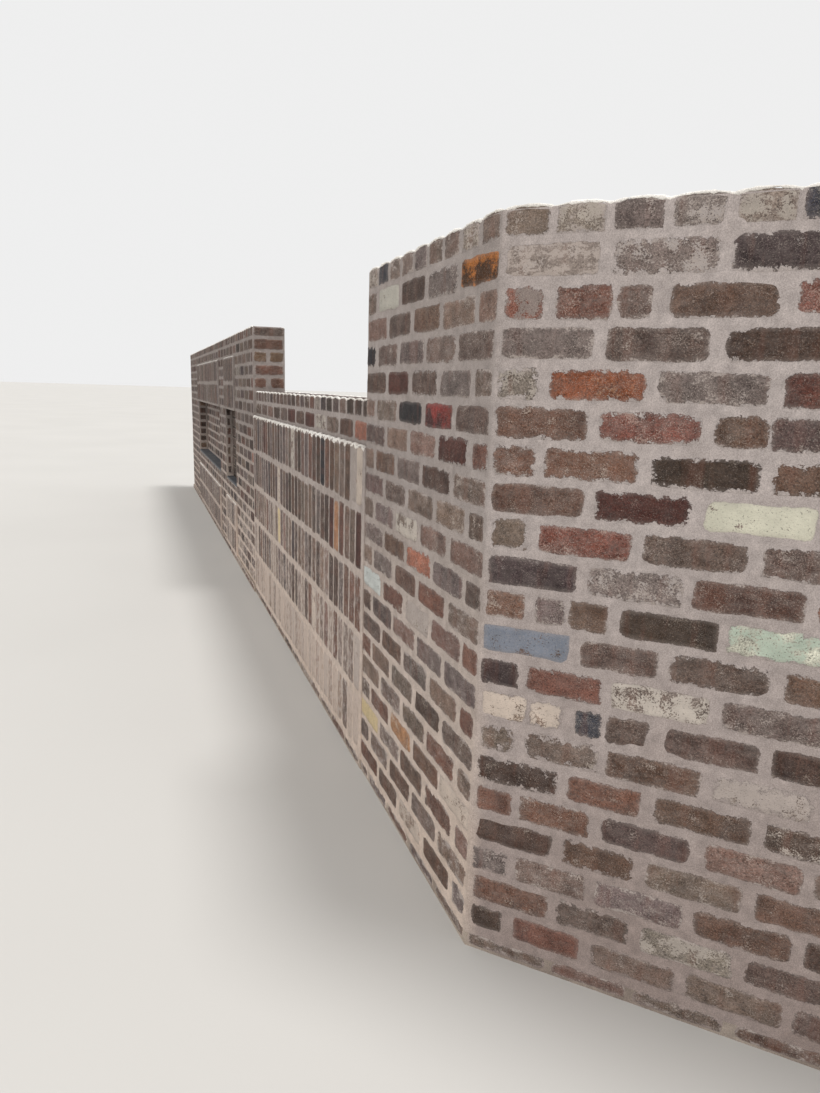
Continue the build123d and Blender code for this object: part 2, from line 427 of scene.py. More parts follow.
def make_piece(name, points, faces, finish, slot, stands_for=(), **attributes):
    """A mesh from points (n, 3) and groups of faces, one row of point numbers per face."""
    mesh = bpy.data.meshes.new(name)
    corners = np.concatenate([group.ravel() for group in faces])
    sizes = np.concatenate([np.full(len(group), group.shape[1]) for group in faces])
    mesh.vertices.add(len(points))
    mesh.vertices.foreach_set("co", np.ascontiguousarray(points, np.float32).ravel())
    mesh.loops.add(len(corners))
    mesh.loops.foreach_set("vertex_index", corners.astype(np.int32))
    mesh.polygons.add(len(sizes))
    mesh.polygons.foreach_set("loop_start", np.concatenate([[0], np.cumsum(sizes)[:-1]]).astype(np.int32))
    mesh.polygons.foreach_set("use_smooth", np.ones(len(sizes), bool))
    mesh.update(calc_edges=True)
    mesh.set_sharp_from_angle(angle=radians(60))
    for key, values in attributes.items():
        kind, field = ("FLOAT_COLOR", "color") if values.shape[1] == 4 else ("FLOAT_VECTOR", "vector")
        layer = mesh.attributes.new(key, kind, "POINT")
        layer.data.foreach_set(field, np.ascontiguousarray(values, np.float32).ravel())
    mesh.materials.append(finish)
    piece = bpy.data.objects.new(name, mesh)
    scene.collection.objects.link(piece)
    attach(piece, "root")
    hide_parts(*stands_for)
    made_pieces[name] = int((sizes - 2).sum())
    print(f"{name:26s}{made_pieces[name]:7d} triangles")


def joined(parts):
    """Several (points, faces) pairs as one, with the point numbers moved on."""
    counts = np.cumsum([0] + [len(points) for points, _ in parts])
    faces = [group + start for (_, groups), start in zip(parts, counts) for group in groups]
    return np.concatenate([points for points, _ in parts]), faces


def grid_quads(rows, columns):
    """Quads of a grid of points numbered row by row, turning from columns towards rows."""
    first = (np.arange(rows - 1)[:, None] * columns + np.arange(columns - 1)).reshape(-1, 1)
    return first + np.array([0, 1, columns + 1, columns])


# %% [markdown]
# ## Bodies of mortar
# Behind and between the bricks the wall is mortar, so each length gets one closed body. It is a lattice of
# three parameters, along, through and up, of which only the skin is made. The skin lies about 2 mm inside
# the solid's faces and waves gently, as hand-struck mortar does. The waves are a sum of plane waves in
# space, so neighbouring bodies match where they meet.

# %% Shape a body of mortar


def waves(points, shortest=0.045):
    """Sum of six plane waves, each longer and taller than the last, between about -1 and 1."""
    directions = np.array([[3, 1, 2], [-1, 2, 3], [2, 3, -1], [1, -3, 2], [-2, 1, 3], [3, 2, 1]])
    lengths = shortest * 1.55 ** np.arange(6)
    numbers = 2 * pi * directions / np.linalg.norm(directions, axis=1)[:, None] / lengths[:, None]
    return (np.sin(points @ numbers.T + np.arange(6) * 1.7) * np.linspace(0.12, 0.22, 6)).sum(-1)


def unit(vectors):
    """Each row divided by its length."""
    return vectors / np.linalg.norm(vectors, axis=1)[:, None]


def marks(length, cell, rounding=0.005):
    """Places along a side: both ends, a close line beside each for the rounded arris, even steps between."""
    steps = max(2, round((length - 2 * rounding) / cell) + 1)
    return np.concatenate([[0], np.linspace(rounding, length - rounding, steps), [length]])


def mortar_body(front_line, back_line, bottom, top, cell, sunk=0.0026, rough=0.0007):
    """The skin of a wall between two lines in plan: P = front + (back - front) t, at height z."""
    front_line, back_line = np.array(front_line, float), np.array(back_line, float)
    pace = np.linalg.norm(np.diff(front_line, axis=0), axis=1)
    reached = np.concatenate([[0], np.cumsum(pace)])
    stations = [start + marks(leg, cell) for start, leg in zip(reached, pace)]
    stations = np.unique(np.concatenate(stations).round(6))
    fronts, backs = (
        np.stack([np.interp(stations, reached, line[:, i]) for i in (0, 1)], -1)
        for line in (front_line, back_line)
    )
    width = np.linalg.norm(back_line[0] - front_line[0])
    through = marks(width, min(cell * 2, width / 3)) / width
    levels = bottom + marks(top - bottom, cell)
    inward, ends_in = unit(backs - fronts), unit(np.gradient(fronts, axis=0))
    last_a, last_t, last_z = len(stations) - 1, len(through) - 1, len(levels) - 1

    def skin(a, t, z, turned):
        """One side of the lattice, its points pressed in wherever they lie on an outer face."""
        a, t, z = np.broadcast_arrays(a, t, z)
        flat = fronts[a] + (backs[a] - fronts[a]) * through[t][..., None]
        points = np.concatenate([flat, levels[z][..., None]], -1)
        press = sunk + rough * waves(points)
        side = (t == 0) * 1.0 - (t == last_t)
        end = (a == 0) * 1.0 - (a == last_a)
        points[..., :2] += inward[a] * (press * side)[..., None] + ends_in[a] * (press * end)[..., None]
        # The top lies a millimetre lower still, and rougher, as the trowel left it
        points[..., 2] -= (z == last_z) * (0.001 + 1.5 * rough * (1 + waves(points + 5)))
        quads = grid_quads(*a.shape)
        return points.reshape(-1, 3), [quads[:, ::-1] if turned else quads]

    a, t, z = np.arange(last_a + 1), np.arange(last_t + 1), np.arange(last_z + 1)
    points, faces = joined([
        skin(a[None], 0, z[:, None], False), skin(a[None], last_t, z[:, None], True),
        skin(a[None], t[:, None], last_z, False), skin(a[None], t[:, None], 0, True),
        skin(last_a, t[None], z[:, None], False), skin(0, t[None], z[:, None], True),
    ])
    unique, numbers = np.unique(points.round(6), axis=0, return_inverse=True)
    return unique, [numbers.ravel()[group] for group in faces]


def straight_body(left, right, near, far, bottom, top, cell, **settings):
    """A body of mortar between two ends and two faces of the straight wall."""
    front_line, back_line = [(left, near), (right, near)], [(left, far), (right, far)]
    return mortar_body(front_line, back_line, bottom, top, cell, **settings)


# %% [markdown]
# The tall corner is one body that turns at the mitre. Its top dips 12 mm, because the bricks of the top
# course stand out of the mortar there. The low length is two blocks: the panel, and the set-back courses
# above it. The far length is a block for each column, the thin skin behind each bay, and the panels above
# and below each niche. Blocks overlap by a centimetre where they join. The lining at the back of the
# shallow niche is a piece of its own, because its mortar is a deep brown that paints the shade of the
# recess. The footing strips are rougher bodies of the same kind.

# %% Cast the mortar bodies
lap = 0.010
top_dip = 0.012          # how far the bricks of the top course stand out of the mortar
# Cells of the lattices, finer where the wall is looked at from near by
corner_cell, low_cell, far_cell, bay_cell, fine_cell = 0.017, 0.022, 0.034, 0.030, 0.020
trodden = {"sunk": 0.0034, "rough": 0.0009}     # the footing strip: farther in, and rougher
splay_foot = corner + splay_way * splay_length
splay_foot_back = splay_foot + np.array([-splay_way[1], splay_way[0]]) * thickness
corner_fronts = [(tall_end, front), tuple(corner), tuple(splay_foot)]
corner_backs = [(tall_end, back), tuple(inner_corner), tuple(splay_foot_back)]
underside = strip_top - lap
make_piece(
    "corner_mortar", *mortar_body(corner_fronts, corner_backs, underside, wall_top - top_dip, corner_cell),
    flush_mortar, "mortar", ["corner_joint", "splay_wall", "tall_wall"],
)

panel_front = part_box("low_soldier_row_1")[0].y
panel_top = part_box("low_soldier_row_5")[1].z
low_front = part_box("low_coping")[0].y
low_left, low_right = low_end - lap, tall_end + lap
make_piece(
    "low_mortar",
    *joined([
        straight_body(low_left, low_right, panel_front, back, underside, panel_top, low_cell),
        straight_body(low_left, low_right, low_front, back, panel_top - lap, low_top - top_dip, low_cell),
    ]),
    flush_mortar, "mortar", ["low_backing"],
)

skin_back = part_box("bay_a_backing")[0].y
bay_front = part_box("bay_a_lower_row_1")[0].y
column_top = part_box("far_pier")[1].z
niche_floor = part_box("bay_a_sill")[1].z
apron_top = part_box("bay_a_apron")[1].z
niche_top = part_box("bay_a_upper_row_1")[0].z
apron_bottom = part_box("bay_a_apron")[0].z
lining_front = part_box("bay_a_lining")[0].y
outer_back = skin_back + lap
far_blocks = [straight_body(far_end, low_end, front, back, column_top - lap, wall_top - top_dip, far_cell)]
for column in ("far_near_column", "far_pier", "far_end_column"):
    low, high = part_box(column)
    far_blocks.append(straight_body(low.x, high.x, front, back, underside, column_top + lap, far_cell))
for bay in ("bay_a", "bay_b"):
    low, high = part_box(bay + "_backing")
    left, right = low.x - lap, high.x + lap
    far_blocks += [
        straight_body(left, right, skin_back, back, underside, column_top + lap, far_cell),
        straight_body(left, right, bay_front, outer_back, underside, apron_bottom, bay_cell),
        straight_body(left, right, front, outer_back, apron_bottom - lap, apron_top, bay_cell),
        straight_body(left, right, bay_front, outer_back, niche_top, column_top, bay_cell),
    ]
make_piece("far_mortar", *joined(far_blocks), flush_mortar, "mortar", ["bay_a_backing", "bay_b_backing"])
low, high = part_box("bay_a_lining")
make_piece(
    "bay_a_lining_mortar",
    *straight_body(low.x - lap, high.x + lap, lining_front, outer_back, low.z, niche_top + lap, bay_cell),
    niche_shade_mortar, "mortar",
)

make_piece(
    "corner_footing", *mortar_body(corner_fronts, corner_backs, 0, strip_top, fine_cell, **trodden),
    footing_mortar, "mortar", ["splay_footing", "tall_footing"],
)
for name, over in (("low_footing", lap), ("far_footing", 0)):
    low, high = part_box(name)
    make_piece(
        name + "_strip",
        *straight_body(low.x - over, high.x + over, low.y, high.y, 0, strip_top, bay_cell, **trodden),
        footing_mortar, "mortar", [name],
    )

# %% [markdown]
# ## One brick, many times
# A bedded brick shows one worn face. It is a grid of ten points by seven over that face. The outermost
# ring of the grid is sunk 6.5 mm into the mortar, and the ring inside it is the edge. Near a corner the
# square grid is drawn in: the part of a point that lies past the inner rectangle is shortened until its
# length equals its larger side, which turns the square corner into a round one. Every brick has four
# corner radii of its own, a tilt, a depth and a wandering outline, all drawn from a seeded generator, and
# all the bricks of a face are worked out in one go.

# %% Shape the bricks of a face
along_brick = np.array([-1, -1, -0.84, -0.5, -0.17, 0.17, 0.5, 0.84, 1, 1])
across_brick = np.array([-1, -1, -0.62, 0, 0.62, 1, 1])
sunk_ring, sunk_depth = 0.005, 0.0065    # how far the sunk ring lies outside the edge, and how deep
rng = np.random.default_rng(1927)


def rim(count):
    """Which points of a row are on the sunk ring: -1 at its start, 1 at its end, and 0 between."""
    return np.array([-1] + [0] * (count - 2) + [1])


def outline(rows, columns):
    """Point numbers around the rim of a grid, turning against its faces, for the hidden back of a brick."""
    number = np.arange(rows * columns).reshape(rows, columns)
    return np.concatenate([number[:, 0], number[-1, 1:], number[-2::-1, -1], number[0, -2:0:-1]])


def lay(wall, places, rounded=None, upright=False, **look):
    """Bricks on a face. places has a row per brick: along, up, half length, half height, course, number."""
    along, up, half_long, half_high, rank, number = np.array(places, float).T
    if upright:
        half_long, half_high = half_high, half_long
    n, rows, columns = len(along), len(across_brick), len(along_brick)
    half_long = half_long + rng.uniform(-0.005, 0.002, n)
    half_high = half_high + rng.uniform(-0.002, 0.0012, n)
    half = np.stack([half_long, half_high])[:, :, None, None]
    ideal = np.stack(np.broadcast_arrays(along_brick * half[0], across_brick[:, None] * half[1]))
    shape = ideal[0].shape

    # Corner radii: most are small, a whole brick in six is more worn, and single corners are knocked off
    radius = rng.uniform(0.006, 0.017, (n, 2, 2))
    radius = np.where(rng.random((n, 1, 1)) < 0.16, rng.uniform(0.014, 0.026, (n, 2, 2)), radius)
    radius = np.where(rng.random((n, 2, 2)) < 0.07, rng.uniform(0.020, 0.034, (n, 2, 2)), radius)
    for (course_number, place), value in (rounded or {}).items():
        radius[(rank == course_number) & (number == place)] = value
    radius = radius[:, (across_brick > 0).astype(int)[:, None], (along_brick > 0).astype(int)[None]]
    over = np.maximum(np.abs(ideal) - (half - radius), 0)
    keep = over.max(0) / np.maximum(np.hypot(*over), 1e-9)

    wander = np.clip(rng.normal(0, 0.0017, (2, *shape)), -0.003, 0.003)
    wander[..., 0], wander[..., -1] = wander[..., 1], wander[..., -2]
    wander[..., 0, :], wander[..., -1, :] = wander[..., 1, :], wander[..., -2, :]
    ring = np.stack(np.broadcast_arrays(rim(columns), rim(rows)[:, None]))[:, None] * sunk_ring
    x, y = (ideal - np.sign(ideal) * over * (1 - keep) + wander + ring)[..., None]

    # Depth behind the face of the wall: set in by a little, tilted both ways, and lower at the edge
    depth = rng.uniform(0.0003, 0.0013, (n, 1, 1)) + rng.normal(0, 0.00025, (n, 1, 1)) * along_brick
    depth = depth + rng.normal(0, 0.00025, (n, 1, 1)) * across_brick[:, None]
    depth = depth + rng.uniform(0, 0.0003, shape)
    at_edge = (np.abs(along_brick) == 1) | (np.abs(across_brick) == 1)[:, None]
    depth = np.maximum(depth, 0.0001) + at_edge * 0.0008
    depth = np.where((ring != 0).any(0), sunk_depth, depth)

    way, rise = (straight_up, -wall["along"]) if upright else (wall["along"], straight_up)
    centre = wall["start"] + along[:, None] * wall["along"] + up[:, None] * straight_up
    points = centre[:, None, None] + x * way + y * rise - depth[..., None] * wall["out"]

    around = [outline(rows, columns)]
    return dress(points, around, *(ideal + ring), half_long, half_high, rank, number, centre[:, 2], **look)


# %% [markdown]
# Each brick then gets its number and its look. Near the foot the bricks get a pale film, dust with painted
# bounce light from the ground, and rain leaves a pale bloom on the highest ones. A share of darkening,
# painted shade with grime, is set for each face. Here the grids of points of all the bricks also get
# their faces: the grid itself, and what closes it behind.

# %% Give the bricks their looks
# Below the first height the bricks get a pale film: dust with painted bounce light from the ground
dusty_below, bloom_above = 0.95, 1.30    # heights in metres
clear_of_end = 0.0002    # nothing reaches past the far end of the wall
no_edge = 1e4            # the reach where spot holds a brick's own number: larger than any number drawn


def dress(points, closing, u, v, reach_u, reach_v, rank, number, height,
          named=None, drawn=None, ragged=0.5, dust=0.45, grime=0.15, rinsed=0.0):
    """Looks drawn by share, or from the names in drawn. named gives single bricks by course and place."""
    n, rows, columns = points.shape[:3]
    first = (np.arange(n) * rows * columns)[:, None, None]
    faces = [(first + grid_quads(rows, columns)).reshape(-1, 4), *[first[:, 0] + side for side in closing]]
    points = np.maximum(points, [far_end + clear_of_end, -np.inf, -np.inf])
    own_number = rng.uniform(1, 900, n)[:, None, None]
    look = rng.choice(len(looks), n, p=shares / shares.sum())
    if drawn:
        look = rng.choice([look_names.index(name) for name in drawn], n)
    for (course_number, place), name in (named or {}).items():
        same_place = (number == place) | (np.floor(number) == place)
        look[(rank == course_number) & same_place] = look_names.index(name)
    tone = rng.normal(1, 0.07, (n, 1)) + rng.normal(0, 0.02, (n, 3))
    # Painted shade with grime: the clay and the coat are darkened by this share
    shade_and_grime_factor = [1 - grime, 1 - grime, 1 - grime, 1]
    teeth = ragged * np.clip(rng.lognormal(-0.3, 0.75, n), 0.15, 2.2)
    film = np.stack([film_and_bands[look, 0] * (1 - grime), film_and_bands[look, 1], teeth], -1)
    film[:, :2] *= rng.uniform(0.5, 1.1, (n, 2))
    # Towards the foot the film grows: dust with painted bounce light from the ground
    hazed = dust * np.clip((dusty_below - height) * 1.5, 0, 1)
    hazed = hazed + rinsed * np.clip((height - bloom_above) * 1.6, 0, 1)
    film[:, 0] += hazed * rng.uniform(0.4, 1.3, n)
    per_brick = {
        "reach": np.stack(np.broadcast_arrays(reach_u, reach_v, np.full(n, no_edge)), -1),
        "clay": clay_colours[look] * np.append(tone, np.ones((n, 1)), 1) * shade_and_grime_factor,
        "coat": coat_colours[look] * shade_and_grime_factor, "film": film,
    }
    attributes = {key: np.repeat(values, rows * columns, axis=0) for key, values in per_brick.items()}
    attributes["spot"] = np.stack(np.broadcast_arrays(u, v, own_number), -1).reshape(-1, 3)
    return points.reshape(-1, 3), faces, attributes


def bricks(name, stands_for, *laid):
    """One piece from the bricks of several faces."""
    points, faces = joined([part[:2] for part in laid])
    attributes = {key: np.concatenate([part[2][key] for part in laid]) for key in laid[0][2]}
    make_piece(name, points, faces, salvaged_brick, "brickwork", stands_for, **attributes)


# %% [markdown]
# ## Stretcher courses
# In a plain course the bricks run lengthwise, and every second course starts with a half brick so that no
# upright joint stands over another. A course is cut into slots from one end: the first piece, then whole
# modules, then what is left. The visible brick is its slot less one joint, and lies a little off its line,
# as laid by eye. Courses are numbered from the top of the tall wall down, and places from the end nearest
# the outer corner, so that a brick can be named for its look.

# %% Set out stretcher courses


def nudged(rows, sideways, upwards):
    """The same rows with every brick a little off its line."""
    rows[:, 0] += rng.uniform(-sideways, sideways, len(rows))
    rows[:, 1] += rng.uniform(-upwards, upwards, len(rows))
    return rows


def even_pace(rank):
    """The second slot of a course and the others, in metres."""
    return module, module


def stretchers(length, bottom, top, from_right=False, ends_on_half=0, free_end=0.0, pace=even_pace,
               sideways=0.003, upwards=0.0015):
    """Rows for lay(): courses between two levels. free_end lengthens the last brick of each."""
    rows = []
    # A slice of less than 0.3 of a course is not laid, and nor is an end piece shorter than 100 mm
    for base in np.arange(bottom, top - 0.3 * course, course):
        rank = round((wall_top - base) / course)
        second, others = pace(rank)
        first = others if (rank + ends_on_half) % 2 == 0 else others / 2
        cuts = first + np.concatenate([[0], second + np.arange(0, length, others)])
        cuts = np.concatenate([[0], cuts[cuts < length - 0.1], [length]])
        if cuts[-1] - cuts[-2] > 1.2 * others:
            cuts = np.insert(cuts, -1, (cuts[-1] + cuts[-2]) / 2)
        middle, half = (cuts[:-1] + cuts[1:]) / 2, (np.diff(cuts) - upright_gap) / 2
        middle[-1], half[-1] = middle[-1] + free_end / 2, half[-1] + free_end / 2
        place, slot_top = length - middle if from_right else middle, min(base + course, top)
        up, half_high = (base + bed_joint + slot_top) / 2, (slot_top - base - bed_joint) / 2
        count = np.arange(len(middle))
        rows.append(np.stack(np.broadcast_arrays(place, up, half, half_high, rank, count), -1))
    return nudged(np.concatenate(rows), sideways, upwards)


second_piece = 0.5       # what the second piece of a broken brick adds to its place in the course


def snapped(rows, breaks, seam=0.004):
    """The same rows with some bricks in two pieces, a seam apart. breaks gives the first piece's share."""
    for (rank, number), share in breaks.items():
        hit = (rows[:, 4] == rank) & (rows[:, 5] == number)
        pieces = np.repeat(rows[hit], 2, axis=0)
        half = pieces[0, 2]
        pieces[:, 0] += half * np.array([share - 1, share])
        pieces[:, 2] = half * np.array([share, 1 - share]) - seam / 2
        pieces[1, 5] += second_piece
        rows = np.concatenate([rows[~hit], pieces])
    return rows


# %% [markdown]
# The few bricks that stand out on the two faces of the corner, by paint, lime, soot or a hot colour, are
# named one by one: course first, counted from the top, then the place in the course, counted from the
# corner. All others are drawn by lot from the everyday looks that such a face is made of.

# %% Name the bricks that stand out at the corner
splay_marks = {
    (1, 5): "navy", (2, 0): "silver", (2, 1): "silver", (2, 2): "iron", (3, 0): "red and grey",
    (3, 3): "brick red", (5, 0): "limed", (5, 1): "orange", (5, 3): "oxblood", (6, 1): "brick red",
    (7, 2): "dark olive", (8, 1): "oxblood", (8, 2): "cream paint", (9, 1): "brick red", (10, 0): "iron",
    (10, 1): "silver", (10, 3): "orange", (11, 2): "dark olive", (11, 3): "mint paint",
    (12, 0): "blue paint", (13, 0): "iron", (13, 2): "white lime", (14, 0): "cream lime", (14, 1): "navy",
    (14, 1.5): "umber", (15, 3): "grey lime", (16, 3): "splashed", (20, 2): "limed",
}
tall_marks = {
    (1, 7): "navy", (2, 0): "burnt", (2, 3): "chalky paint", (4, 4): "black", (5, 3): "oxblood",
    (6, 1): "bright red", (6, 2): "black", (7, 1): "oxblood", (9, 0): "splashed", (10, 2): "white lime",
    (11, 2): "salmon", (13, 2): "grey lime", (13, 4): "pale blue paint", (18, 0): "cream lime",
    (18, 2): "orange tan", (19, 4): "yellow paint", (21, 2): "cream lime",
}
splay_looks = ("umber", "umber", "umber", "red brown", "pink brown", "walnut", "plum", "cocoa", "cocoa",
               "mauve grey", "mauve grey", "rust", "dun", "driftwood")
tall_looks = ("umber", "umber", "cocoa", "cocoa", "mauve grey", "mauve grey", "driftwood", "walnut", "plum",
              "dun", "fawn", "pink brown", "red brown")
# Bricks in two pieces, with the share of the first, and bricks with worn corners, with their radius
splay_breaks = {(3, 1): 0.62, (6, 2): 0.5, (11, 1): 0.45, (14, 0): 0.6, (14, 1): 0.4}
splay_rounded = {(5, 1): 0.020, (6, 1): 0.030, (10, 3): 0.022, (17, 2): 0.020, (19, 3): 0.020}
tall_rounded = {(6, 2): 0.030, (4, 3): 0.020}
print(len(splay_marks) + len(tall_marks), "bricks named at the corner")

# %% [markdown]
# The bricks of the splay run wider than the others, and low down the second brick of each course is a
# short one. The backs and the ends of the wall are laid at the even pace of the rest.

# %% Lay the tall corner


def splay_pace(rank):
    """The second slot and the others in metres: wider than a module, and a short brick low down."""
    return (0.2555, 0.2555) if rank <= 10 else (0.220, 0.251)


splay_front = face(corner, splay_way)
splay_rear = face(splay_foot_back, -splay_way)
splay_end = face(splay_foot, [-splay_way[1], splay_way[0]])
tall_front = face((tall_end, front))
tall_rear = face(inner_corner, (-1, 0))
tall_side = face((tall_end, back), (0, -1))
tall_back = inner_corner[0] - tall_end
splay_rows = snapped(stretchers(splay_length, strip_top, body_top, pace=splay_pace), splay_breaks)
# A pale film at the foot is dust with painted bounce light; darkening is painted shade with grime
bricks(
    "splay_bricks", ["splay_wall"],
    lay(splay_front, splay_rows, splay_rounded, named=splay_marks, drawn=splay_looks,
        ragged=1.0, dust=0.0, grime=0.05, rinsed=0.1),
    lay(splay_rear, stretchers(splay_back, strip_top, body_top)),
    lay(splay_end, stretchers(thickness, strip_top, body_top)),
)
tall_rows = stretchers(tall_length, strip_top, body_top, from_right=True, free_end=0.009)
bricks(
    "tall_bricks", ["tall_wall"],
    lay(tall_front, tall_rows, tall_rounded, named=tall_marks, drawn=tall_looks,
        ragged=0.65, dust=0.2, grime=0.08),
    lay(tall_rear, stretchers(tall_back, strip_top, body_top)),
    lay(tall_side, stretchers(thickness, low_top, body_top)),
)

# %% [markdown]
# The wall goes on below what shows of it. Of its lowest course only the upper part is seen, above the
# dusty mortar of the footing strip.

# %% Lay the foot course
# How far the middle of its bricks lies above the middle of the strip, and what the mortar covers of each edge
foot_rise, foot_margin = 0.001, 0.0095


def foot_course(length, **settings):
    """Rows for lay(): the lowest course, cut down to what the footing strip shows of it."""
    rows = stretchers(length, strip_top - course, strip_top, upwards=0.0, **settings)
    rows[:, 1], rows[:, 3] = strip_top / 2 + foot_rise, strip_top / 2 - foot_margin
    return rows


low_strip = face((low_end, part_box("low_footing")[0].y))
far_strip = face((far_end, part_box("far_footing")[0].y))
bricks(
    "foot_bricks", [],
    lay(splay_front, foot_course(splay_length, pace=splay_pace), drawn=splay_looks, ragged=1.0, dust=0.2),
    lay(splay_rear, foot_course(splay_back)),
    lay(tall_front, foot_course(tall_length, from_right=True)),
    lay(low_strip, foot_course(low_length, from_right=True)),
    lay(far_strip, foot_course(far_length, from_right=True)),
    lay(tall_rear, foot_course(inner_corner[0] - far_end)),
)

# %% [markdown]
# ## Soldier panels
# A soldier is a brick set on end. The panels have them in rows, 89.5 mm apart, with a wide bed of mortar
# between the rows, where the bricks were lined up by their tops. The lowest row of the low panel is the
# palest: it is drawn from pale and limed looks, and its thick pale film is dust with painted bounce light
# from the ground. The two highest rows are darkened: painted shade with grime.

# %% Set out soldiers and lay the low length
soldier_gap = 0.0105     # what shows of the mortar between two soldiers


def soldiers(length, bottom, top, bed, upwards, rank=0, shorter=0.0):
    """Rows for lay(): one row of bricks on end, counted from the right-hand end of the panel."""
    number = np.arange(round((length - 2 * panel_edge) / soldier_pitch))
    middle = length - panel_edge - (number + 0.5) * soldier_pitch
    # The tops are lined up 6 mm under the top of the row
    up, half_high = (bottom + bed + top) / 2 - 0.006, (top - bottom - bed) / 2 - shorter
    half_wide = (soldier_pitch - soldier_gap) / 2
    rows = np.stack(np.broadcast_arrays(middle, up, half_wide, half_high, rank, number), -1)
    return nudged(rows, 0.002, upwards)


soldier_marks = {
    (5, 0): "cream lime", (5, 1): "grey lime", (5, 7): "black", (5, 15): "white lime", (4, 0): "oxblood",
    (4, 4): "orange tan", (4, 20): "cream lime", (3, 2): "rust", (3, 20): "yellow paint",
    (2, 0): "grey lime", (2, 9): "cream lime",
}
pale_bricks = ("fawn", "pink brown", "driftwood", "limed", "dun", "grey lime", "tan", "silver")
panel_face = face((low_end, panel_front))
for row in range(1, 6):
    name = f"low_soldier_row_{row}"
    low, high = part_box(name)
    rows = soldiers(low_length, low.z, high.z, bed=0.029, upwards=0.004, rank=row)
    # Row 1: pale looks and a thick pale film, dust with painted bounce light. Rows 4 and 5: darkened, painted
    # shade with grime
    painted_light_and_dust = {"dust": 1.1, "drawn": pale_bricks} if row == 1 else {"dust": 0.9}
    bricks(f"low_soldiers_{row}", [name],
           lay(panel_face, rows, upright=True, named=soldier_marks, ragged=0.3,
               grime=0.2 if row > 3 else 0.0, **painted_light_and_dust))

low_face = face((low_end, low_front))
low_rear = face((tall_end, back), (-1, 0))
low_rows = stretchers(low_length, panel_top, low_top - course, from_right=True, ends_on_half=1)
low_marks = {(7, 0): "salmon", (7, 3): "white lime"}
# The plain course is darkened by a quarter: painted shade with grime
bricks("low_course_bricks", ["low_plain_course"], lay(low_face, low_rows, named=low_marks, grime=0.25))
bricks("low_back_bricks", ["low_backing"],
       lay(low_rear, stretchers(low_length, strip_top, low_top - course)))

# %% [markdown]
# ## The far length
# Columns and the two courses over everything are plain stretchers. The bays have soldiers above and
# below the niches, two plain courses under the sill, and bricks at the back of each niche. The sides of a
# niche show the ends of the bricks in the columns, and the far length's near end stands above the low
# wall. This length is darkened all over: painted shade with grime.

# %% Lay the columns of the far length
# How far the far length is darkened, also in its niches: painted shade with grime
far_shade_and_grime = 0.42
# For each column its own settings, and its sides in the niches: the bay, the end of the bay, the looks
columns_and_sides = {
    "far_near_column": (
        {"named": {(4, 3): "limed", (5, 0): "brick red", (11, 0): "salmon"}, "dust": 0.9},
        [("bay_a", 1, ("rust", "red brown", "tan"))],
    ),
    "far_pier": ({}, [("bay_a", 0, ("tan", "walnut", "red brown")), ("bay_b", 1, ("rust", "red brown"))]),
    "far_end_column": ({}, [("bay_b", 0, ("tan", "walnut", "dark olive"))]),
}
for name, (look, sides) in columns_and_sides.items():
    low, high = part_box(name)
    rows = stretchers(high.x - low.x, strip_top, column_top, from_right=True)
    laid = [lay(face((low.x, front)), rows, grime=far_shade_and_grime, **look)]
    for bay, end, drawn in sides:
        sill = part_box(bay + "_sill")
        rows = stretchers(sill[1].y - sill[0].y, niche_floor, niche_top, sideways=0.001)
        niche_side = face((sill[end].x, sill[1 - end].y), (0, 1) if end else (0, -1))
        laid.append(lay(niche_side, rows, drawn=drawn, grime=far_shade_and_grime))
    bricks(name.replace("far_", "") + "_bricks", [name], *laid)

# %% [markdown]
# The two ends of the far length run up to the top. There the header course shows one brick lying along
# the end.

# %% Lay the top, the ends and the back of the far length
half_brick, half_face = 0.114, 0.032
end_brick = (thickness / 2, body_top + bed_joint + half_face, half_brick, half_face, 1, 0)
far_face = face((far_end, front))
far_rear = face((low_end, back), (-1, 0))
near_side = face((low_end, front), (0, 1))
far_side = face((far_end, back), (0, -1))
bricks(
    "far_top_bricks", ["far_top_course"],
    lay(far_face, stretchers(far_length, column_top, body_top, from_right=True), grime=far_shade_and_grime),
    lay(near_side, np.append(stretchers(thickness, low_top, body_top), [end_brick], 0),
        drawn=("rust", "tan", "umber", "iron"), grime=0.2),
    lay(far_side, np.append(stretchers(thickness, strip_top, body_top), [end_brick], 0)),
)
low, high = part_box("bay_b_sill")
bricks(
    "far_back_bricks", ["bay_a_backing", "bay_b_backing"],
    lay(far_rear, stretchers(far_length, strip_top, body_top)),
    lay(face((low.x, skin_back)), stretchers(high.x - low.x, niche_floor, niche_top),
        grime=far_shade_and_grime),
)

# %% [markdown]
# A bay is filled from the foot up: two rows of soldiers, the apron of plain courses, the niche, and two
# more rows of soldiers over it. The shallow niche has a lining of very dark bricks of its own, painted shade
# at the back of the recess.

# %% Lay the bays
bay_ledges = []
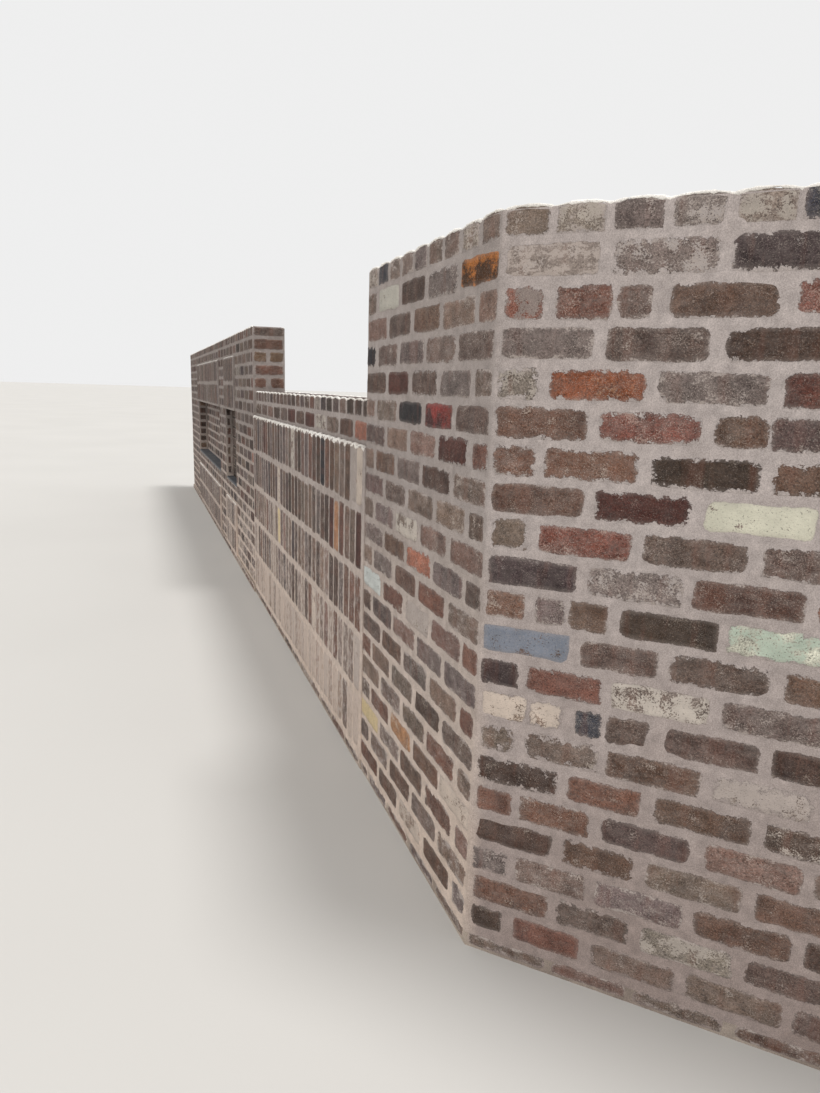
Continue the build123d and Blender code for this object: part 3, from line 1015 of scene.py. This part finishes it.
# The share of pale film at the foot of each bay: dust with painted bounce light from the ground
for bay, dust in (("bay_a", 0.9), ("bay_b", 0.5)):
    low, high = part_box(bay + "_backing")
    length = high.x - low.x
    bay_face = face((low.x, bay_front))
    bay_ledges += [(bay_face, length, column_top), (bay_face, length, apron_bottom)]
    for panel in ("lower", "upper"):
        for row in (1, 2):
            name = f"{bay}_{panel}_row_{row}"
            bottom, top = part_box(name)[0].z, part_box(name)[1].z
            rows = soldiers(length, bottom, top, bed=0.022, upwards=0.003, shorter=0.003)
            bricks(f"{bay}_{panel}_soldiers_{row}", [name],
                   lay(bay_face, rows, upright=True, ragged=0.3, grime=far_shade_and_grime, dust=dust))
    rows = stretchers(length, apron_bottom, apron_top, from_right=True)
    bricks(bay + "_apron_bricks", [bay + "_apron"],
           lay(face((low.x, front)), rows, grime=far_shade_and_grime))
# The lining is drawn from the darkest looks, with no pale film: painted shade at the back of the shallow
# niche
low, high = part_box("bay_a_lining")
bricks(
    "bay_a_lining_bricks", ["bay_a_lining"],
    lay(face((low.x, lining_front)), stretchers(high.x - low.x, niche_floor, niche_top),
        drawn=("walnut", "dark olive"), ragged=0.2, dust=0),
)

# %% [markdown]
# ## The header course on top
# The top course is bricks laid across the wall, so each is a block that shows its end in front, its long
# face on top and its other end behind. Its shape is one profile, up the front, over the rounded arrises
# and down the back, carried across the width of the brick. Towards its sides the top arches down, which
# makes the scalloped line along the top of the wall.

# %% Shape the header course
header_gap = 0.017       # what shows of the mortar between two headers
header_high = course - bed_joint - 0.0034     # the tallest header stops a little under the solid's top


def header_profile(depth, height):
    """Half of the profile as (in from the front, up from the foot, way out), mirrored to the back face."""
    half = np.array([
        (0.006, -0.005, 1, 0), (0.001, 0, 1, 0), (0, 0.35 * height, 1, 0), (0, 0.72 * height, 1, 0),
        (0.001, height - 0.012, 1, 0), (0.0035, height - 0.004, 0.7, 0.7), (0.011, height - 0.001, 0, 1),
        (0.05, height, 0, 1), (depth / 2, height + 0.0005, 0, 1),
    ])
    other = half[-2::-1] * [-1, 1, -1, 1] + [depth, 0, 0, 0]
    return np.concatenate([half, other])


def lay_headers(wall, length, depth, base, count, from_right=False, rank=1, **look):
    """Blocks across the wall, this many on this length. At its two ends the top hardly arches down."""
    pitch, number = length / count, np.arange(count)
    middle = (number + 0.5) * pitch + rng.uniform(-0.003, 0.003, count)
    if from_right:
        middle = length - middle
    half = (pitch - header_gap) / 2 + rng.uniform(-0.003, 0.002, count)
    top = header_high - rng.uniform(0, 0.003, count)
    profile = header_profile(depth, header_high)
    rows, columns = len(profile), len(across_brick)
    shape = (count, rows, columns)
    lowered = np.minimum(profile[:, 1] / profile[:, 1].max(), 1)
    up = base + bed_joint + profile[:, 1, None] + (top - top.max())[:, None, None] * lowered[:, None]
    ring = rim(columns)
    sink = np.abs(across_brick) ** 3 * 0.0009 + (ring != 0) * 0.006
    arch = np.abs(across_brick) ** 2.5 * 0.0085 + (ring != 0) * 0.008
    arch = arch * np.where(np.isin(number, (0, count - 1)), 0.3, 1)[:, None, None]
    wander = np.clip(rng.normal(0, 0.0008, shape), -0.002, 0.0016)
    wander[..., 0], wander[..., -1] = wander[..., 1], wander[..., -2]
    inward = profile[:, 0, None] + profile[:, 2, None] * (sink + 0.0003 + 0.5 * np.abs(wander))
    up = up - profile[:, 3, None] * (sink + arch) + wander * 0.6
    ideal = across_brick * half[:, None, None] + ring * sunk_ring
    across = (ideal + wander) * (1 - 0.02 * lowered[:, None])
    inward, up, across = (np.broadcast_to(value, shape) for value in (inward, up, across))
    centre = wall["start"] + middle[:, None] * wall["along"]
    points = centre[:, None, None] + across[..., None] * wall["along"] - inward[..., None] * wall["out"]
    points = points + up[..., None] * straight_up

    walked = np.concatenate([[0], np.cumsum(np.hypot(*np.diff(profile[:, :2], axis=0).T))])
    walked = walked - walked[-1] / 2
    grid = np.arange(rows * columns).reshape(rows, columns)
    closing = [grid[:, 0], grid[::-1, -1], np.concatenate([grid[-1], grid[0, ::-1]])]
    return dress(points, closing, ideal, walked[:, None], half, walked[-2], rank, number, base, **look)


# The top of each length: its two faces, their lengths, its thickness, its level and the number of headers
tops = {
    "splay": (splay_front, splay_rear, splay_length, splay_back, thickness, wall_top, 16),
    "tall": (tall_front, tall_rear, tall_length, tall_back, thickness, wall_top, 9),
    "low": (low_face, low_rear, low_length, low_length, back - low_front, low_top,
            round(low_length / (module / 2))),
    "far": (far_face, far_rear, far_length, far_length, thickness, wall_top,
            round(far_length / (module / 2))),
}
# The top courses of the splay and the tall length are drawn from pale looks and are not darkened
pale_not_darkened = {"grime": 0.0, "drawn": ("driftwood", "silver", "limed", "mauve grey", "driftwood")}
header_settings = {
    "splay": {"named": splay_marks, **pale_not_darkened},
    "tall": {"named": tall_marks, "from_right": True, **pale_not_darkened},
    # The low and far top courses are darkened: painted shade with grime
    "low": {"rank": 6, "from_right": True, "grime": 0.3},
    "far": {"rank": 0, "from_right": True, "grime": 0.3},
}
for name, (wall, _, length, _, depth, top, count) in tops.items():
    headers = lay_headers(wall, length, depth, top - course, count, **header_settings[name])
    bricks(name + "_headers", [name + "_coping"], headers)

# %% [markdown]
# ## Slate sills
# A slab of split slate floors each niche. Its faces are flat, and its front edge is chipped where the slate
# was broken to size. It is made as the mortar bodies are, with rougher waves.

# %% Cut the slate sills


def slate_finish(name):
    """Split slate: blue grey, in thin leaves, with dusty blooms and a low sheen."""
    finish, node, shader = new_finish(name, 0.62)
    place = node("TexCoord")["Object"]
    layered = node("Mapping", Vector=place, Scale=(1.0, 1.0, 9.0))[0]
    leaf = node("TexNoise", Vector=layered, Scale=per(45), Detail=5.0, Roughness=0.6)[0]
    bloom = node("TexNoise", Vector=place, Scale=per(120), Detail=3.0)[0]
    grey = node("MapRange", Value=leaf, From_Min=0.3, From_Max=0.7)[0]
    colour = node("MixRGB", Fac=grey, Color1=linear("272b31"), Color2=linear("3d4249"))[0]
    dust = node("MapRange", Value=bloom, From_Min=0.5, From_Max=0.72, To_Max=0.35)[0]
    colour = node("MixRGB", Fac=dust, Color1=colour, Color2=linear("7c766f"))[0]
    return finished(finish, node, shader, colour, leaf, 0.0015)


# Split slate: flat, blue grey, dull with mortar dust.
split_slate = slate_finish("split_slate")
for name in ("bay_a_sill", "bay_b_sill"):
    low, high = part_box(name)
    # 4 mm clear of the bricks at its sides, and let into the mortar at the back of the niche
    make_piece(
        name.replace("sill", "slate_sill"),
        *straight_body(low.x + 0.004, high.x - 0.004, low.y - 0.001, high.y + lap, low.z, high.z, fine_cell,
                       sunk=0.003, rough=0.0018),
        split_slate, "slate", [name],
    )

# %% [markdown]
# ## Squeezed-out mortar
# Along the top arrises and on the ledges above the soldiers the mortar was left as it squeezed out, and it
# shows as a broken white line, pale lime made whiter as a painted sunlit highlight. It is a thin rope of
# mortar:
# eight points around a path, with a radius that swells and shrinks along the way. Along the top the path
# follows the scallops of the header course.

# %% Run the mortar along the arrises
rope_start = 0.004       # how far from the ends of its face a rope starts and stops


def wobble(places, longest, seed):
    """Sum of five sine waves along a line, each 1.8 times shorter than the last, about -1 to 1."""
    phases = np.random.default_rng(seed).uniform(0, 2 * pi, 5)
    lengths = longest / 1.8 ** np.arange(5)
    return (np.sin(2 * pi * places[:, None] / lengths + phases) * 0.32).sum(-1)


def mortar_rope(wall, length, level, seed, inward, thick, pitch, scallop, step=0.008, margin=0.0):
    """A ring of eight points every step: radius = thick (1 + 0.6 wobble), closed by its two end rings."""
    places = np.linspace(rope_start, length - rope_start, round(length / step))
    radius = thick * np.clip(1 + 0.6 * wobble(places, 0.16, seed), 0.25, 1.7)
    radius[[0, -1]] *= 0.3
    in_pitch = np.abs((places - margin) / pitch % 1 * 2 - 1)
    up = level - scallop * in_pitch ** 2.5 - radius * 0.35
    inset = inward + 0.0015 * wobble(places, 0.22, seed + 2)
    centre = wall["start"] + places[:, None] * wall["along"] - inset[:, None] * wall["out"]
    centre = centre + up[:, None] * straight_up
    around = np.arange(8)
    turn, after = around * pi / 4, np.roll(around, -1)
    ring = np.cos(turn)[:, None] * wall["out"] + 0.8 * np.sin(turn)[:, None] * straight_up
    points = centre[:, None] + radius[:, None, None] * ring
    first = np.arange(len(places) - 1)[:, None, None] * 8
    quads = (first + np.stack([around + 8, after + 8, after, around], -1)).reshape(-1, 4)
    return points.reshape(-1, 3), [quads, around[None], around[None, ::-1] + (len(places) - 1) * 8]


below_top = 0.0052       # how far under the top of the solid the ropes of the arrises run


def arris_ropes(name, seed):
    """Ropes on the front and the back arris of a header course."""
    front_face, back_face, front_length, back_length, _, top, count = tops[name]
    level, scallops = top - below_top, {"pitch": front_length / count, "scallop": 0.008}
    return [
        mortar_rope(front_face, front_length, level, seed, inward=0.0065, thick=0.005, **scallops),
        mortar_rope(back_face, back_length, level, seed + 7, inward=0.009, thick=0.0065, step=0.012,
                    **scallops),
    ]


ledge = {"pitch": soldier_pitch, "scallop": 0.012, "margin": panel_edge}
panel_rope = mortar_rope(panel_face, low_length, panel_top + 0.003, 41, inward=0.010, thick=0.0095, **ledge)
bay_ropes = [mortar_rope(wall, length, level + 0.002, 61, inward=0.013, thick=0.007, **ledge)
             for wall, length, level in bay_ledges]
ropes = {
    "corner_top_mortar": arris_ropes("splay", 10) + arris_ropes("tall", 20),
    "low_top_mortar": arris_ropes("low", 30) + [panel_rope],
    "far_top_mortar": arris_ropes("far", 50) + bay_ropes,
}
for name, parts in ropes.items():
    make_piece(name, *joined(parts), sunlit_crust_mortar, "mortar")
counts = made_pieces.values()
print(len(counts), "pieces,", sum(counts), "triangles, at most", max(counts), "in one piece")

# %% [markdown]
# ## Floor, backdrop and light
# A pale floor and a pale world stand in for a studio. The world lights all sides evenly, a broad lamp in
# front gives the faces a slight direction, and a soft sun from above and behind brightens the tops. The
# level is plain: a colour renders about as it is written. What the camera sees of the world is set apart
# from its light through Is Camera Ray.

# %% Build the stage
size = 400.0             # metres from the middle of the floor to its edges
floor_mesh = bpy.data.meshes.new("floor")
floor_corners = [(-size, -size, 0), (size, -size, 0), (size, size, 0), (-size, size, 0)]
floor_mesh.from_pydata(floor_corners, [], [(0, 1, 2, 3)])
floor = bpy.data.objects.new("floor", floor_mesh)
scene.collection.objects.link(floor)
# Matt paint on a studio floor: an even, pale grey with the faintest cloud in it.
floor_finish, node, shader = new_finish("matt_pale_floor", 0.95)
speck = node("TexNoise", Vector=node("TexCoord")["Object"], Scale=per(2500), Detail=2.0)[0]
tone = node("MapRange", Value=speck, From_Min=0.3, From_Max=0.7)[0]
floor_colour = node("MixRGB", Fac=tone, Color1=linear("c6c3be"), Color2=linear("cac7c2"))[0]
floor_finish.node_tree.links.new(floor_colour, shader.inputs["Base Color"])
floor_mesh.materials.append(floor_finish)
floor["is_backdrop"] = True

light_strength, seen_strength = 0.60, 0.86     # what the world gives off, and how bright it looks
world = bpy.data.worlds.new("studio")
scene.world = world
world.use_nodes = True
node, background = partial(add_node, world.node_tree), world.node_tree.nodes["Background"]
rays = node("LightPath")
seen = node("Math", larger, in_0=rays["Is Camera Ray"], in_1=rays["Is Glossy Ray"])[0]
seen = node("Math", larger, in_0=seen, in_1=rays["Is Transmission Ray"])[0]
light_level = node("MapRange", Value=seen, To_Min=light_strength, To_Max=seen_strength)[0]
world.node_tree.links.new(light_level, background.inputs["Strength"])
background.inputs["Color"].default_value = (1.0, 1.0, 1.0, 1.0)


def sun(name, energy, place, spread):
    """A sun that shines from a place towards the middle of the floor. spread is its width in degrees."""
    data = bpy.data.lights.new(name, "SUN")
    data.energy, data.angle = energy, radians(spread)
    made = bpy.data.objects.new(name, data)
    scene.collection.objects.link(made)
    made.location = place
    x, y, z = place
    made.rotation_euler = (pi / 2 - atan(z / np.hypot(x, y)), 0, np.arctan2(x, -y))


sun("sun_behind", 1.8, (1, 2.4, 9), 14)
sun("broad_front", 1.3, (6, -6, 5), 60)

# %% [markdown]
# ## The camera
# The photograph was taken from just past the corner, at eye level, looking along the wall. The camera's
# place, its turn and its lens were fitted to the corners and courses of the wall, and they are given here
# as a compass angle from +Y, a tilt down and a slight roll. The three axes of the camera are built from
# those angles and put into its matrix.

# %% Place the camera
eye = (1.7219, -0.9687, 1.6072)
compass, tilt, roll = radians(69.168), radians(-12.112), radians(1.7745)
lens = bpy.data.cameras.new("camera")
lens.sensor_fit = "VERTICAL"
lens.sensor_height = 36.0
lens.lens = 23.879
lens.clip_start = 0.02
camera = bpy.data.objects.new("camera", lens)
scene.collection.objects.link(camera)
ahead = np.array([-sin(compass) * cos(tilt), cos(compass) * cos(tilt), sin(tilt)])
level_right = np.array([cos(compass), sin(compass), 0])
level_up = np.cross(level_right, ahead)
right = cos(roll) * level_right + sin(roll) * level_up
upward = cos(roll) * level_up - sin(roll) * level_right
matrix = np.eye(4)
matrix[:3, 0], matrix[:3, 1], matrix[:3, 2], matrix[:3, 3] = right, upward, -ahead, eye
camera.matrix_world = Matrix(matrix)
scene.camera = camera
scene.view_settings.view_transform = "Standard"
print("camera at", eye, "looking", ahead.round(3))

# %% [markdown]
# ## Finish
# The box of the dressed wall less the box of the solids is printed, to see that the dressing stays inside
# the solids' size.

# %% Measure and finish
bpy.context.view_layer.update()
dressed_low, dressed_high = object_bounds()
differences = (*(dressed_low - solid_low), *(dressed_high - solid_high))
print("dressed box less the solids' box, mm:", [round(1000 * v, 1) for v in differences])
